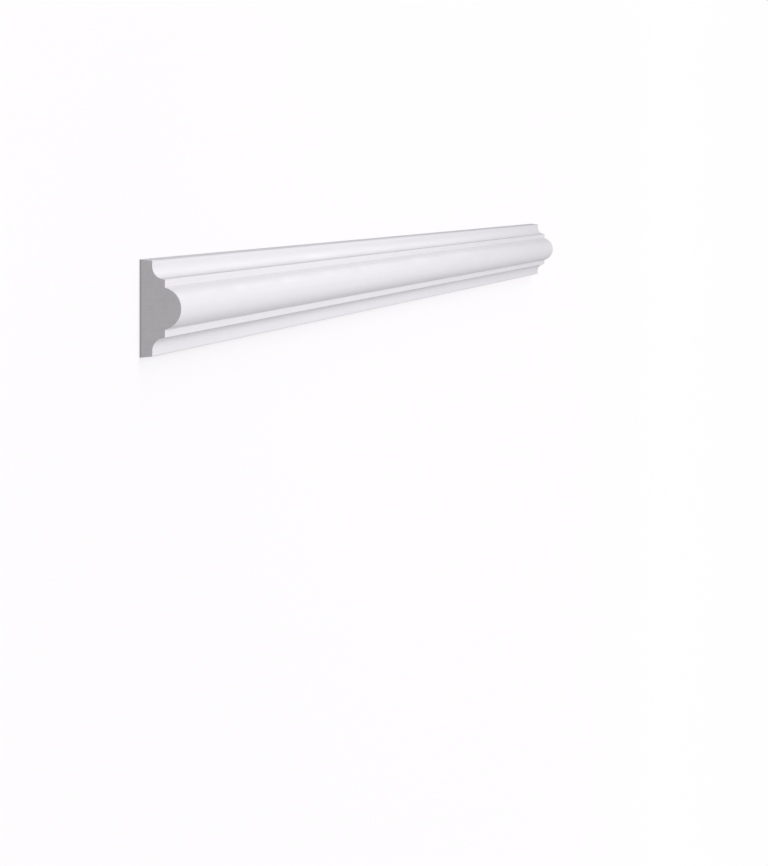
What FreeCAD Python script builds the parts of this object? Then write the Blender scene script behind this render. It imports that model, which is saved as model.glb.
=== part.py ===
"""Panel moulding: one straight length of symmetrical wall trim, lying on its flat back.

The section is a thin lip on each side, a quarter-round cove, a flat step and a round bead in the middle.
The length runs along X, the width along Y and the bead points up along Z. The back lies at Z = 0.
"""
import FreeCAD, Part
import math
import os
import Sketcher

# Driving sizes, in millimetres
SIZES = {
    "stock_length": 2000.0,
    "bead_width": 18.0,
    "bead_rise": 7.0,
    "step_width": 3.5,
    "cove_radius": 5.5,
    "lip_width": 2.5,
    "lip_thickness": 5.5,
    "edge_draft": 0.5,
    "arris_radius": 0.4,
}

# How close an edge has to be to a corner of the section to count as that corner, in millimetres
CORNER_REACH = 0.01

# Turns of a cove's arc
HALF_TURN = math.pi
QUARTER_TURN = HALF_TURN / 2.0


def point(across, height):
    """A place in the section, measured from the middle of the back."""
    return FreeCAD.Vector(across, height, 0.0)


def back_line():
    """The line that the back lies on, as the constraints name it."""
    return -1


def middle_line():
    """The upright line that the two halves mirror about, as the constraints name it."""
    return -2


def start_of(stretch):
    """The first point of a stretch of the outline, as the constraints name it."""
    return stretch, 1


def end_of(stretch):
    """The last point of a stretch of the outline, as the constraints name it."""
    return stretch, 2


def centre_of(stretch):
    """The centre of a round stretch of the outline, as the constraints name it."""
    return stretch, 3


doc = FreeCAD.newDocument("PanelMoulding")

# Sheet of sizes
sheet = doc.addObject("Spreadsheet::Sheet", "Sizes")
for row, (name, value) in enumerate(SIZES.items(), start=1):
    sheet.set(f"A{row}", name)
    sheet.set(f"B{row}", str(value))
    sheet.setAlias(f"B{row}", name)
doc.recompute()

# Corners of the section, from the middle outwards and from the back upwards
half_bead = sheet.bead_width / 2.0
half_step = half_bead + sheet.step_width
half_cove = half_step + sheet.cove_radius
half_lip = half_cove + sheet.lip_width
half_back = half_lip + sheet.edge_draft
lip_front = sheet.lip_thickness
step_front = lip_front + sheet.cove_radius
crown_front = step_front + sheet.bead_rise

# Body and its section sketch
body = doc.addObject("PartDesign::Body", "PanelMoulding")
body.Label = "panel_moulding"
section = body.newObject("Sketcher::SketchObject", "Section")
section.AttachmentSupport = [(f, "") for f in body.Origin.OriginFeatures if f.Role == "YZ_Plane"]
section.MapMode = "FlatFace"


def add_line(start, end):
    """Add a straight stretch of the outline and give its number in the sketch."""
    return section.addGeometry(Part.LineSegment(point(*start), point(*end)))


def add_cove(across, first_angle):
    """Add a hollow quarter circle around a centre level with the step, and give its number."""
    circle = Part.Circle(point(across, step_front), FreeCAD.Vector(0, 0, 1), sheet.cove_radius)
    return section.addGeometry(Part.ArcOfCircle(circle, first_angle, first_angle + QUARTER_TURN))


# Outline, from the back round to the left
back = add_line((-half_back, 0.0), (half_back, 0.0))
right_edge = add_line((half_back, 0.0), (half_lip, lip_front))
right_lip = add_line((half_lip, lip_front), (half_cove, lip_front))
right_cove = add_cove(half_cove, HALF_TURN)
right_step = add_line((half_step, step_front), (half_bead, step_front))
bead_arc = Part.Arc(point(half_bead, step_front), point(0.0, crown_front), point(-half_bead, step_front))
bead = section.addGeometry(bead_arc)
left_step = add_line((-half_bead, step_front), (-half_step, step_front))
left_cove = add_cove(-half_cove, HALF_TURN + QUARTER_TURN)
left_lip = add_line((-half_cove, lip_front), (-half_lip, lip_front))
left_edge = add_line((-half_lip, lip_front), (-half_back, 0.0))
crown = section.addGeometry(Part.Point(point(0.0, crown_front)), True)

# Joints between neighbouring stretches
for first, second in (
    (end_of(back), start_of(right_edge)),
    (end_of(right_edge), start_of(right_lip)),
    (end_of(right_lip), end_of(right_cove)),
    (start_of(right_cove), start_of(right_step)),
    (end_of(right_step), start_of(bead)),
    (end_of(bead), start_of(left_step)),
    (end_of(left_step), end_of(left_cove)),
    (start_of(left_cove), start_of(left_lip)),
    (end_of(left_lip), start_of(left_edge)),
    (end_of(left_edge), start_of(back)),
):
    section.addConstraint(Sketcher.Constraint("Coincident", *first, *second))

# The two halves mirror each other
for right, left in (
    (end_of(back), start_of(back)),
    (start_of(right_lip), end_of(left_lip)),
    (end_of(right_lip), start_of(left_lip)),
    (start_of(right_step), end_of(left_step)),
    (end_of(right_step), start_of(left_step)),
):
    section.addConstraint(Sketcher.Constraint("Symmetric", *right, *left, middle_line()))

# Level faces, coves that are true quarter circles, and the crown on top of the bead
section.addConstraint([
    Sketcher.Constraint("PointOnObject", *start_of(back), back_line()),
    Sketcher.Constraint("Horizontal", right_lip),
    Sketcher.Constraint("Horizontal", right_step),
    Sketcher.Constraint("Vertical", *centre_of(right_cove), *end_of(right_lip)),
    Sketcher.Constraint("Horizontal", *centre_of(right_cove), *start_of(right_step)),
    Sketcher.Constraint("Horizontal", *centre_of(left_cove), *end_of(left_step)),
    Sketcher.Constraint("PointOnObject", *start_of(crown), middle_line()),
    Sketcher.Constraint("PointOnObject", *start_of(crown), bead),
])

# Dimensions of the sketch, each bound to its cell
for name, dimension in (
    ("bead_width", ("DistanceX", *start_of(left_step), *end_of(right_step))),
    ("bead_rise", ("DistanceY", *end_of(right_step), *start_of(crown))),
    ("step_width", ("DistanceX", *end_of(right_step), *start_of(right_step))),
    ("cove_radius", ("Radius", right_cove)),
    ("lip_width", ("DistanceX", *end_of(right_lip), *start_of(right_lip))),
    ("lip_thickness", ("DistanceY", *start_of(right_edge), *end_of(right_edge))),
    ("edge_draft", ("DistanceX", *end_of(right_edge), *start_of(right_edge))),
):
    number = section.addConstraint(Sketcher.Constraint(*dimension, SIZES[name]))
    section.renameConstraint(number, name)
    section.setExpression(f"Constraints.{name}", f"{sheet.Name}.{name}")
doc.recompute()

# The length of stock, cut square at both ends
stock = body.newObject("PartDesign::Pad", "Stock")
stock.Profile = section
stock.SideType = "Symmetric"
stock.setExpression("Length", f"{sheet.Name}.stock_length")
doc.recompute()

# Softened arrises along the lips and the steps
arrises = []
for number, edge in enumerate(stock.Shape.Edges, start=1):
    middle = edge.CenterOfMass
    for across, height in ((half_lip, lip_front), (half_step, step_front)):
        if math.hypot(abs(middle.y) - across, middle.z - height) < CORNER_REACH:
            arrises.append(f"Edge{number}")
softened = body.newObject("PartDesign::Fillet", "SoftenedArrises")
softened.Base = (stock, arrises)
softened.setExpression("Radius", f"{sheet.Name}.arris_radius")
doc.recompute()

# Checks before anything is written
for item in doc.Objects:
    if "Invalid" in item.State or "Error" in item.State:
        raise RuntimeError(f"{item.Name} did not recompute")
if body.Shape.isNull() or not body.Shape.isValid() or len(body.Shape.Solids) != 1:
    raise RuntimeError(f"{body.Label} is not one sound solid")

os.makedirs("parts", exist_ok=True)
body.Shape.exportStep(f"parts/{body.Label}.step")
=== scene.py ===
"""Panel moulding: the looks of a straight length of primed wall trim, lying flat on a pale floor."""

import math

import bmesh
import bpy
from mathutils import Matrix, Vector


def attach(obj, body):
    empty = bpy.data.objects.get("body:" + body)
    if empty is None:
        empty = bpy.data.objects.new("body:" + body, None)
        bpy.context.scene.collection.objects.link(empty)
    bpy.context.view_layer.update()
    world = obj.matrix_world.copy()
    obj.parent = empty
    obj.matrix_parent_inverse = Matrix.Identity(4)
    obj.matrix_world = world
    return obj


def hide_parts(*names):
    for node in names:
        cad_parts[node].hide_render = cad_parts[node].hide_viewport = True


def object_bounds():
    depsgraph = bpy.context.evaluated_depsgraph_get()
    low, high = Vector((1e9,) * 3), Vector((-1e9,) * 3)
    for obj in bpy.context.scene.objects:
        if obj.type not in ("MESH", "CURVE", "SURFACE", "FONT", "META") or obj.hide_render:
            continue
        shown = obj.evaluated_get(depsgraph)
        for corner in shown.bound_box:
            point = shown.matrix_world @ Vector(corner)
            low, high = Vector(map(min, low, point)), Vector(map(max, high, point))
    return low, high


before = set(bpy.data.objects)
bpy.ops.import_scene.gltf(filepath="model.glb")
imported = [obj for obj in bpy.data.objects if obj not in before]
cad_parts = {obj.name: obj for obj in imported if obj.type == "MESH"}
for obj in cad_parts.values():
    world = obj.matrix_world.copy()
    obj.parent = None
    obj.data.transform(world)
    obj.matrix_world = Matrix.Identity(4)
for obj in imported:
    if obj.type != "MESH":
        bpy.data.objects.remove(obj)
cad_low, cad_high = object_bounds()

# Section of the moulding, in metres, from its middle outwards
BEAD_WIDTH = 0.018
BEAD_RISE = 0.007
STEP_WIDTH = 0.0035
COVE_RADIUS = 0.0055
EDGE_DRAFT = 0.0005
ARRIS_RADIUS = 0.0004

# Tiny chamfer that the saw's clean-up leaves round each cut end, in metres
SAW_CHAMFER = 0.00005

# Fineness of the mesh, how near two vertices are that become one, in metres, and the turn of a sharp edge
BEAD_STEPS = 32
COVE_STEPS = 24
ARRIS_STEPS = 6
LENGTH_STEPS = 40
MERGE_REACH = 1e-6
SHARP_TURN = math.radians(30.0)

# Share of a face's normal along an axis, where the face is square to the axis and where it leans that way
SQUARE_ON = 0.9
LEANING = 0.1

# Places of the finishes on the moulding's list of materials
PRIMER_SLOT, SAWN_SLOT, BACK_SLOT = range(3)

# Layout of the finish's own map, as shares of it: the length lies on it in strips, above each other, and
# the ends on top, side by side
MAP_STRIPS = 4
MAP_STRIP_SHARE = 0.8
MAP_MARGIN = 0.006
MAP_NEAR_END = 0.25
MAP_FAR_END = 0.75

# The photograph's frame and what it shows, in its pixels
PHOTO_WIDTH = 768
PHOTO_HEIGHT = 866
VANISHING_POINT = (943.5, 186.3)
NEAR_BACK_MIDDLE = (139.6, 308.6)
NEAR_BACK_SPAN = 98.4
FAR_BACK_COLUMN = 531.0

# The camera's sensor, in millimetres, and how far it sees, in metres
SENSOR_MM = 36.0
CAMERA_REACH = 100.0

# Colours and gloss of the white primer and of the bare foam under it
PRIMER_DARK = (0.852, 0.828, 0.868)
PRIMER_LIGHT = (0.888, 0.864, 0.905)
PRIMER_GLOSS = 0.08
FOAM_DARK = (0.415, 0.400, 0.415)
FOAM_LIGHT = (0.470, 0.453, 0.470)
FOAM_GLOSS = 0.12

# Patterns of the finishes, in repeats to the metre along each axis, and how many finer layers they have
DRAW_LINES = (1.5, 380.0, 380.0)
PRIMER_CLOUDS = (26.0, 26.0, 26.0)
PRIMER_STIPPLE = (1000.0, 1000.0, 1000.0)
FOAM_CLOUDS = (150.0, 150.0, 150.0)
SAW_LINES = (1.0, 1300.0, 70.0)
SANDING_LINES = (6.0, 900.0, 1.0)
SOFT_DETAIL = 2.0
CRISP_DETAIL = 3.0

# Cells of the foam, to the metre
FOAM_CELLS = 2600.0

# Shares of the patterns in the tone of each finish: lines, clouds and stipple in the primer, clouds, lines
# and cells on the sawn ends, lines and clouds on the back
PRIMER_SHARES = (0.5, 0.35, 0.15)
SAWN_SHARES = (0.4, 0.3, 0.3)
BACK_SHARES = (0.6, 0.4)

# Stretch of a pattern's values that is used in full, and the roughness at both of its ends
WHOLE = (0.0, 1.0)
PRIMER_STRETCH = (0.36, 0.64)
CLOUD_STRETCH = (0.3, 0.7)
FOAM_STRETCH = (0.3, 0.7)
CELL_STRETCH = (0.0, 0.6)
PRIMER_ROUGHNESS = (0.56, 0.7)
SAWN_ROUGHNESS = (0.95, 0.8)
BACK_ROUGHNESS = (0.8, 0.95)

# Relief of the finishes, in metres
STIPPLE_RELIEF = 0.00003
DRAW_RELIEF = 0.00005
CELL_RELIEF = 0.00006
SAW_RELIEF = 0.00004
SANDING_RELIEF = 0.00004

# Painted shade along the lip's arris, on the cove's steep wall a little below the step, and along the foot
# of the bead, where shade falls: how far each reaches, in metres, its tone beside the primer's, and the
# share of the reach over which it has that tone in full
ARRIS_SHADE_REACH = 0.0007
ARRIS_SHADE_TONE = 0.92
WALL_SHADE_DROP = 0.0012
WALL_SHADE_REACH = 0.0014
WALL_SHADE_TONE = 0.86
FOOT_SHADE_REACH = 0.0006
FOOT_SHADE_TONE = 0.94
SHADE_LINE_CORE = 0.3

# Painted shade: a darker line along the back of each cut end, where it meets the floor: its depth, in
# metres, and its tone beside the foam's
BACK_SHADE_DEPTH = 0.001
BACK_SHADE_TONE = 0.66

# Primer that reaches round onto the edges of the back, in metres
OVERSPRAY_REACH = 0.0018

# Floor, in metres: its white lifts with the distance from the near end, as the key lamp's light thins out
FLOOR_REACH = 40.0
FLOOR_GAP = 0.0002
FLOOR_SHADE = (0.19, 0.187, 0.19)
FLOOR_WHITE = (1.0, 0.984, 1.0)
FLOOR_LIFT_NEAR = 0.769
FLOOR_LIFT_FAR = 0.842
FLOOR_LIFT_STRETCH = 4.0

# Lights: places and sizes in metres, near lamps in watts and far ones in watts to the square metre
SKY_COLOUR = (1.0, 1.0, 1.0)
SKY_LEVEL = 0.595
KEY_PLACE = (-0.9, 1.24, 3.06)
KEY_SIZE = 1.0
KEY_WATTS = 38.5
FRONT_SIDE = (-2.3, 0.1, 0.16)
FRONT_STRENGTH = 1.57
FRONT_SOFTNESS = math.radians(12.0)
SHEEN_PLACE = (3.0, 0.55, 0.35)
SHEEN_SIZE = 0.2
SHEEN_WATTS = 0.032
SHEEN_SPREAD = math.radians(12.0)
WASH_SIDE = (0.0, 0.83, 0.56)
WASH_STRENGTH = 1.25
WASH_SOFTNESS = math.radians(40.0)

# Sockets of a Mix node that carry colours, behind those of the same names that carry numbers
MIX_DARK, MIX_LIGHT = 6, 7
MIX_RESULT = 2

length, width, depth = cad_high - cad_low
near_end = cad_low.x
half_bead = BEAD_WIDTH / 2.0
half_step = half_bead + STEP_WIDTH
half_cove = half_step + COVE_RADIUS
half_back = width / 2.0
half_lip = half_back - EDGE_DRAFT
step_front = depth - BEAD_RISE
lip_front = step_front - COVE_RADIUS


def put_in_scene(name, data):
    """Put a mesh, a lamp or a camera into the scene."""
    thing = bpy.data.objects.new(name, data)
    bpy.context.collection.objects.link(thing)
    return thing


def put_mesh(bm, name, mesh_name):
    """Put a finished bmesh into the scene as a mesh, and let go of it."""
    mesh = bpy.data.meshes.new(mesh_name)
    bm.to_mesh(mesh)
    bm.free()
    return put_in_scene(name, mesh)


# Mesh of the moulding

def straight(bm, start, across, height):
    """Draw the outline on from a vertex to a place in the section, and give the new last vertex."""
    end = bm.verts.new((near_end, across, height))
    bm.edges.new((start, end))
    return end


def round_off(bm, start, across, height, angle, steps):
    """Turn the outline's last vertex about a centre in the section, and give the new last vertex."""
    centre = (near_end, across, height)
    spun = bmesh.ops.spin(bm, geom=[start], cent=centre, axis=(1, 0, 0), angle=angle, steps=steps)
    return next(part for part in spun["geom_last"] if isinstance(part, bmesh.types.BMVert))


def draw_half_section(bm):
    """Draw half the outline, from the middle of the back round the lip, cove and step to the crown."""
    quarter = math.pi / 2.0
    lip_turn = quarter - math.atan2(EDGE_DRAFT, lip_front)
    lip_tangent = ARRIS_RADIUS * math.tan(lip_turn / 2.0)
    edge_slope = Vector((half_lip - half_back, lip_front)).normalized()
    lip_start = Vector((half_lip, lip_front)) - lip_tangent * edge_slope
    step_lean = math.asin(ARRIS_RADIUS / (COVE_RADIUS + ARRIS_RADIUS))
    step_round = half_cove - (COVE_RADIUS + ARRIS_RADIUS) * math.cos(step_lean)
    bead_radius = (half_bead ** 2 + BEAD_RISE ** 2) / (2.0 * BEAD_RISE)
    bead_centre = depth - bead_radius
    bead_turn = math.atan2(half_bead, step_front - bead_centre)

    first = bm.verts.new((near_end, 0.0, 0.0))
    last = straight(bm, first, half_back, 0.0)
    last = straight(bm, last, *lip_start)
    last = round_off(bm, last, half_lip - lip_tangent, lip_front - ARRIS_RADIUS, lip_turn, ARRIS_STEPS)
    last = straight(bm, last, half_cove, lip_front)
    last = round_off(bm, last, half_cove, step_front, step_lean - quarter, COVE_STEPS)
    last = round_off(bm, last, step_round, step_front - ARRIS_RADIUS, quarter - step_lean, ARRIS_STEPS)
    last = straight(bm, last, half_bead, step_front)
    round_off(bm, last, 0.0, bead_centre, bead_turn, BEAD_STEPS)
    return first


def note_girth(bm, first):
    """Note on each vertex of the half outline how far round it lies, and give the half girth."""
    girth = bm.verts.layers.float["girth"]
    far, vert, edge = 0.0, first, first.link_edges[0]
    while edge:
        far += edge.calc_length()
        vert = edge.other_vert(vert)
        vert[girth] = far
        edge = next((other for other in vert.link_edges if other is not edge), None)
    return far


def draw_out(bm):
    """Draw the whole outline out along X in even steps, with a face at each end."""
    ring = bm.edges[:]
    bmesh.ops.edgeloop_fill(bm, edges=ring)
    stride = Vector(((length - 2.0 * SAW_CHAMFER) / LENGTH_STEPS, 0.0, 0.0))
    for _ in range(LENGTH_STEPS):
        drawn = bmesh.ops.extrude_edge_only(bm, edges=ring)["geom"]
        bmesh.ops.translate(bm, verts=[p for p in drawn if isinstance(p, bmesh.types.BMVert)], vec=stride)
        ring = [p for p in drawn if isinstance(p, bmesh.types.BMEdge) and p.is_boundary]
    bmesh.ops.edgeloop_fill(bm, edges=ring)
    bmesh.ops.recalc_face_normals(bm, faces=bm.faces[:])


def chamfer_ends(bm):
    """Stand the face of each end forward on a tiny chamfer."""
    ends = [face for face in bm.faces if abs(face.normal.x) > SQUARE_ON]
    bmesh.ops.inset_individual(
        bm, faces=ends, thickness=SAW_CHAMFER, depth=SAW_CHAMFER, use_even_offset=True
    )


def share_out_finishes(bm):
    """Give the cut ends and the back finishes of their own, and the rest the primer."""
    for face in bm.faces:
        face.smooth = True
        if abs(face.normal.x) > SQUARE_ON:
            face.material_index = SAWN_SLOT
        elif face.normal.z < -SQUARE_ON:
            face.material_index = BACK_SLOT
        else:
            face.material_index = PRIMER_SLOT


def lay_out_map(bm, half_girth):
    """Lay the long faces out in strips and the ends above them, on the map that the finish is kept in."""
    girth = bm.verts.layers.float["girth"]
    layer = bm.loops.layers.uv.new("OFBake")
    strip_length = length / MAP_STRIPS
    strip_height = MAP_STRIP_SHARE / MAP_STRIPS
    half_room = strip_height / 2.0 - MAP_MARGIN
    end_scale = (MAP_FAR_END - MAP_NEAR_END - 2.0 * MAP_MARGIN) / width
    for face in bm.faces:
        middle = face.calc_center_median()
        end_middle = MAP_NEAR_END if middle.x < 0.0 else MAP_FAR_END
        strip = min(int((middle.x - near_end) / strip_length), MAP_STRIPS - 1)
        strip_middle = (strip + 0.5) * strip_height
        for loop in face.loops:
            spot = loop.vert.co
            if abs(face.normal.x) > LEANING:
                across = end_middle + spot.y * end_scale
                up = MAP_STRIP_SHARE + MAP_MARGIN + spot.z * end_scale
            else:
                along = (spot.x - near_end) / strip_length - strip
                side = math.copysign(loop.vert[girth] / half_girth, middle.y)
                across = MAP_MARGIN + along * (1.0 - 2.0 * MAP_MARGIN)
                up = strip_middle + side * half_room
            loop[layer].uv = (across, up)


def make_moulding():
    """Model the whole length: the section mirrored, drawn out along X and closed with chamfered ends."""
    bm = bmesh.new()
    bm.verts.layers.float.new("girth")
    first = draw_half_section(bm)
    half_girth = note_girth(bm, first)
    bmesh.ops.mirror(bm, geom=bm.verts[:] + bm.edges[:], axis="Y", merge_dist=MERGE_REACH)
    bmesh.ops.translate(bm, verts=bm.verts[:], vec=(SAW_CHAMFER, 0.0, 0.0))
    draw_out(bm)
    chamfer_ends(bm)
    share_out_finishes(bm)
    lay_out_map(bm, half_girth)
    piece = put_mesh(bm, "moulding_length", "panel_moulding_skin")
    piece.data.set_sharp_from_angle(angle=SHARP_TURN)
    weighted = piece.modifiers.new("even_shading", "WEIGHTED_NORMAL")
    weighted.keep_sharp = True
    return piece


# Finishes

def paint(colour, tone=1.0):
    """A colour as a socket takes it, brought down to a tone."""
    return (*(tone * part for part in colour), 1.0)


class Nodes:
    """The nodes of a finish or of the sky, and short ways to add to them."""

    def __init__(self, owner):
        owner.use_nodes = True
        self.tree = owner.node_tree

    def feed(self, socket, value):
        """Give a socket what it reads: another socket, a number, a place or a colour."""
        if isinstance(value, bpy.types.NodeSocket):
            self.tree.links.new(value, socket)
        else:
            socket.default_value = value

    def add(self, kind, *feeds, **settings):
        """Add a node with its settings, feed its sockets by name or number, and give its outputs."""
        node = self.tree.nodes.new(f"ShaderNode{kind}")
        for name, setting in settings.items():
            setattr(node, name, setting)
        for name, value in feeds:
            self.feed(node.inputs[name], value)
        return node.outputs

    def maths(self, operation, *values):
        """One sum of values, each a socket or a number."""
        return self.add("Math", *enumerate(values), operation=operation)["Value"]

    def ranged(self, value, source, target):
        """A value drawn from one range to another and kept inside it."""
        names = ("Value", "From Min", "From Max", "To Min", "To Max")
        return self.add("MapRange", *zip(names, (value, *source, *target)))["Result"]

    def seen(self):
        """A factor of 1 for rays from the camera or from a mirror or glass, and 0 for rays of light."""
        rays = self.add("LightPath")
        mirrored = self.maths("MAXIMUM", rays["Is Glossy Ray"], rays["Is Transmission Ray"])
        return self.maths("MAXIMUM", rays["Is Camera Ray"], mirrored)


class Finish(Nodes):
    """A material under way: its nodes, its shader's sockets and the place that its patterns read."""

    def __init__(self, name, gloss):
        self.material = bpy.data.materials.new(name)
        super().__init__(self.material)
        self.shader = self.tree.nodes["Principled BSDF"].inputs
        self.feed(self.shader["Specular IOR Level"], gloss)
        self.place = self.add("TexCoord")["Object"]

    def clouds(self, repeats, detail=SOFT_DETAIL):
        """Soft uneven noise, about 0.5, with its repeats to the metre along each axis."""
        spread = self.add("Mapping", ("Vector", self.place), ("Scale", repeats))["Vector"]
        return self.add("TexNoise", ("Vector", spread), ("Scale", 1.0), ("Detail", detail))["Fac"]

    def cells(self, repeats):
        """Closed foam cells: how far each point is from its cell's middle, and a tone for each cell."""
        foam = self.add("TexVoronoi", ("Vector", self.place), ("Scale", repeats))
        return foam["Distance"], self.add("SeparateColor", ("Color", foam["Color"]))["Red"]

    def sides(self):
        """The place as its three separate distances."""
        return self.add("SeparateXYZ", ("Vector", self.place))

    def distance(self, spot, target):
        """How far a spot is from a target, in metres."""
        return self.add("VectorMath", (0, spot), (1, target), operation="DISTANCE")["Value"]

    def from_line(self, across, height):
        """How far the surface is, in metres, from a line along the length, which both sides have."""
        sides = self.sides()
        off_middle = self.maths("ABSOLUTE", sides["Y"])
        section = self.add("CombineXYZ", ("Y", off_middle), ("Z", sides["Z"]))["Vector"]
        return self.distance(section, (0.0, across, height))

    def blend(self, patterns, shares):
        """Several patterns in one, each with its share."""
        total = 0.0
        for pattern, share in zip(patterns, shares):
            total = self.maths("MULTIPLY_ADD", pattern, share, total)
        return total

    def tones(self, factor, dark, light):
        """A colour between two tones, each a socket or a colour."""
        feeds = ("Factor", factor), (MIX_DARK, dark), (MIX_LIGHT, light)
        return self.add("Mix", *feeds, data_type="RGBA")[MIX_RESULT]

    def relief(self, *layers):
        """Bumps on the surface, from pairs of a height and its depth in metres."""
        below = []
        for height, metres in layers:
            bumps = self.add("Bump", ("Height", height), ("Distance", metres), *below)
            below = [("Normal", bumps["Normal"])]
        self.feed(self.shader["Normal"], bumps["Normal"])


def white_primer():
    """Matt white primer: drawn lines, soft clouds and a fine stipple, and painted shade along some edges.
    """
    finish = Finish("white_primer", PRIMER_GLOSS)
    lines = finish.clouds(DRAW_LINES, CRISP_DETAIL)
    clouds = finish.clouds(PRIMER_CLOUDS, CRISP_DETAIL)
    stipple = finish.clouds(PRIMER_STIPPLE)
    blend = finish.blend((lines, clouds, stipple), PRIMER_SHARES)
    cast = finish.ranged(blend, PRIMER_STRETCH, WHOLE)
    tone = finish.tones(cast, paint(PRIMER_DARK), paint(PRIMER_LIGHT))
    # Painted shade: darker lines where shade falls along the lip's arris, the cove's steep wall and the
    # bead's foot
    for across, height, reach, shade in (
        (half_lip, lip_front, ARRIS_SHADE_REACH, ARRIS_SHADE_TONE),
        (half_step, step_front - WALL_SHADE_DROP, WALL_SHADE_REACH, WALL_SHADE_TONE),
        (half_bead, step_front, FOOT_SHADE_REACH, FOOT_SHADE_TONE),
    ):
        off_shade_line = finish.ranged(finish.from_line(across, height), (SHADE_LINE_CORE * reach, reach), WHOLE)
        tone = finish.tones(off_shade_line, paint(PRIMER_DARK, shade), tone)
    finish.feed(finish.shader["Base Color"], tone)
    finish.feed(finish.shader["Roughness"], finish.ranged(clouds, CLOUD_STRETCH, PRIMER_ROUGHNESS))
    finish.relief((lines, DRAW_RELIEF), (stipple, STIPPLE_RELIEF))
    return finish.material


def sawn_foam():
    """Bare grey foam where the saw cut it: closed cells, faint saw lines and painted shade along the back.
    """
    finish = Finish("sawn_foam", FOAM_GLOSS)
    hollow, cell_tone = finish.cells(FOAM_CELLS)
    clouds = finish.clouds(FOAM_CLOUDS)
    lines = finish.clouds(SAW_LINES)
    blend = finish.blend((clouds, lines, cell_tone), SAWN_SHARES)
    cast = finish.ranged(blend, FOAM_STRETCH, WHOLE)
    tone = finish.tones(cast, paint(FOAM_DARK), paint(FOAM_LIGHT))
    # Painted shade along the back of the cut end, where it meets the floor
    above_back_shade = finish.ranged(finish.sides()["Z"], (0.0, BACK_SHADE_DEPTH), WHOLE)
    back_shaded = finish.tones(above_back_shade, paint(FOAM_DARK, BACK_SHADE_TONE), tone)
    finish.feed(finish.shader["Base Color"], back_shaded)
    finish.feed(finish.shader["Roughness"], finish.ranged(hollow, CELL_STRETCH, SAWN_ROUGHNESS))
    finish.relief((hollow, CELL_RELIEF), (lines, SAW_RELIEF))
    return finish.material


def bare_back():
    """Bare foam back, sanded along its length, with primer that reaches round onto its edges."""
    finish = Finish("bare_back", FOAM_GLOSS)
    lines = finish.clouds(SANDING_LINES, CRISP_DETAIL)
    clouds = finish.clouds(FOAM_CLOUDS, CRISP_DETAIL)
    blend = finish.blend((lines, clouds), BACK_SHARES)
    cast = finish.ranged(blend, FOAM_STRETCH, WHOLE)
    foam = finish.tones(cast, paint(FOAM_DARK), paint(FOAM_LIGHT))
    from_edge = finish.maths("SUBTRACT", half_back, finish.maths("ABSOLUTE", finish.sides()["Y"]))
    ragged = finish.maths("SUBTRACT", from_edge, finish.maths("MULTIPLY", clouds, OVERSPRAY_REACH))
    half_reach = OVERSPRAY_REACH / 2.0
    past_primer = finish.ranged(ragged, (-half_reach, half_reach), WHOLE)
    finish.feed(finish.shader["Base Color"], finish.tones(past_primer, paint(PRIMER_DARK), foam))
    finish.feed(finish.shader["Roughness"], finish.ranged(blend, FOAM_STRETCH, BACK_ROUGHNESS))
    finish.relief((lines, SANDING_RELIEF))
    return finish.material


def pale_floor():
    """Flat paint without gloss, with a white of its own where it is seen, so that only shadows show."""
    finish = Finish("pale_floor", gloss=0.0)
    finish.feed(finish.shader["Base Color"], paint(FLOOR_SHADE))
    finish.feed(finish.shader["Emission Color"], paint(FLOOR_WHITE))
    away = finish.distance(finish.place, (near_end, 0.0, 0.0))
    lift = finish.ranged(away, (0.0, FLOOR_LIFT_STRETCH), (FLOOR_LIFT_NEAR, FLOOR_LIFT_FAR))
    finish.feed(finish.shader["Emission Strength"], finish.maths("MULTIPLY", finish.seen(), lift))
    return finish.material


# Studio

def make_floor():
    """A wide pale floor that shows white, further off as well as near, and keeps the moulding's shadow."""
    bm = bmesh.new()
    bmesh.ops.create_grid(bm, x_segments=1, y_segments=1, size=FLOOR_REACH)
    bmesh.ops.translate(bm, verts=bm.verts[:], vec=(0.0, 0.0, cad_low.z - FLOOR_GAP))
    floor = put_mesh(bm, "floor", "floor")
    floor.data.materials.append(pale_floor())
    return floor


def make_sky():
    """Even light from all round, white where it is seen."""
    world = bpy.data.worlds.new("studio")
    sky = Nodes(world)
    light = sky.tree.nodes["Background"].inputs
    sky.feed(light["Color"], paint(SKY_COLOUR))
    sky.feed(light["Strength"], sky.ranged(sky.seen(), WHOLE, (SKY_LEVEL, 1.0)))
    bpy.context.scene.world = world


def hang_lamp(name, kind, strength, aim):
    """A lamp of one of Blender's kinds, turned to shine the way that it is aimed."""
    lamp = bpy.data.lights.new(name, kind)
    lamp.energy = strength
    stand = put_in_scene(name, lamp)
    stand.rotation_euler = aim.to_track_quat("-Z", "Y").to_euler()
    return stand


def make_soft_lamp(name, place, size, watts, spread=math.pi):
    """A soft square lamp that points at the near end of the moulding."""
    stand = hang_lamp(name, "AREA", watts, Vector((near_end, 0.0, 0.0)) - Vector(place))
    stand.location = place
    stand.visible_camera = False
    stand.data.shape = "SQUARE"
    stand.data.size = size
    stand.data.spread = spread


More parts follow.
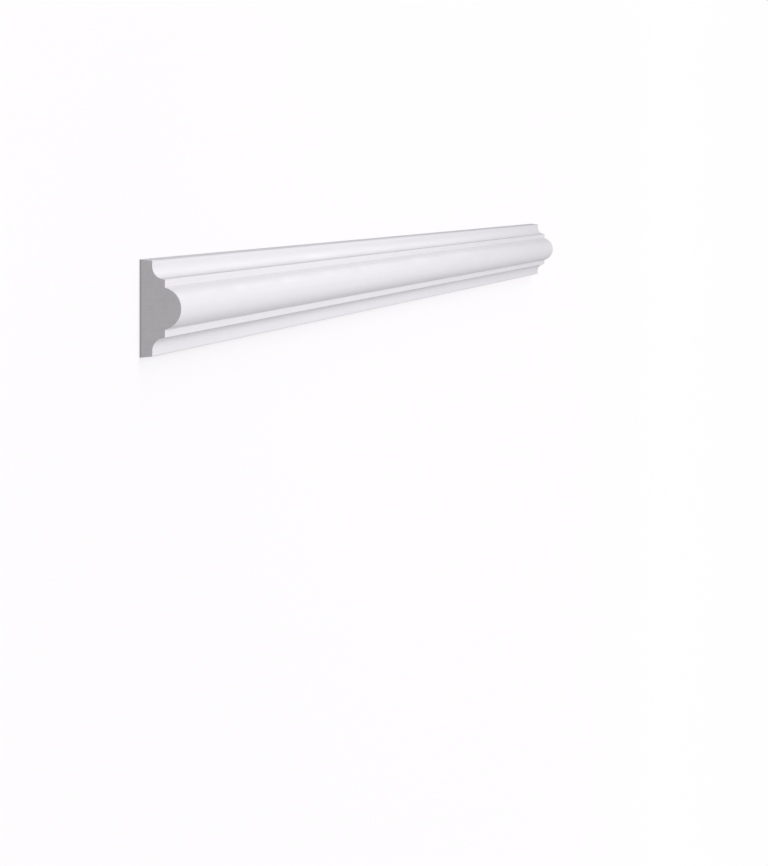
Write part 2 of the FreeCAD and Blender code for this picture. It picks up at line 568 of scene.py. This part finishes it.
def make_far_lamp(name, side, strength, softness, only=None):
    """A lamp so far off to one side that it lights the whole length alike, with no gleam of its own.

    Where it is for one thing only, it lights nothing else, and the rest still casts its shadow there.
    """
    stand = hang_lamp(name, "SUN", strength, -Vector(side))
    stand.visible_glossy = False
    stand.data.angle = softness
    if only:
        lit = bpy.data.collections.new(f"{name}_lights")
        lit.objects.link(only)
        stand.light_linking.receiver_collection = lit


def make_camera():
    """Stand the camera where the photograph's vanishing point and near end put it."""
    centre = Vector((PHOTO_WIDTH / 2.0, PHOTO_HEIGHT / 2.0))

    def from_centre(pixel):
        return Vector((pixel[0] - centre.x, centre.y - pixel[1]))

    vanishing = from_centre(VANISHING_POINT)
    near = from_centre(NEAR_BACK_MIDDLE)
    far_column = FAR_BACK_COLUMN - centre.x
    stretch = (far_column - near.x) / (vanishing.x - far_column)
    sight = length / width * NEAR_BACK_SPAN / stretch
    focal = math.sqrt(sight ** 2 - vanishing.length_squared)
    near_sight = Vector((near.x, near.y, -focal))
    upright_plane = near_sight.cross(Vector((0.0, 1.0, 0.0)))
    along = Vector((vanishing.x, vanishing.y, -focal)).normalized()
    across = upright_plane.cross(along).normalized()
    outward = along.cross(across)
    near_distance = focal * width * across.y / NEAR_BACK_SPAN
    turn = Matrix((along, across, outward))
    place = Vector((near_end, 0.0, cad_low.z)) - turn @ near_sight * near_distance / focal

    lens = bpy.data.cameras.new("camera")
    lens.sensor_width = SENSOR_MM
    lens.lens = focal * SENSOR_MM / max(PHOTO_WIDTH, PHOTO_HEIGHT)
    lens.clip_end = CAMERA_REACH
    camera = put_in_scene("camera", lens)
    camera.matrix_world = Matrix.Translation(place) @ turn.to_4x4()
    bpy.context.scene.camera = camera


bpy.context.scene.view_settings.view_transform = "Standard"
moulding = make_moulding()
for finish in (white_primer(), sawn_foam(), bare_back()):
    moulding.data.materials.append(finish)
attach(moulding, "root")
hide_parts("panel_moulding")
floor = make_floor()
make_sky()
make_soft_lamp("key", KEY_PLACE, KEY_SIZE, KEY_WATTS)
make_far_lamp("front", FRONT_SIDE, FRONT_STRENGTH, FRONT_SOFTNESS)
make_soft_lamp("sheen", SHEEN_PLACE, SHEEN_SIZE, SHEEN_WATTS, SHEEN_SPREAD)
make_far_lamp("wash", WASH_SIDE, WASH_STRENGTH, WASH_SOFTNESS, only=floor)
make_camera()
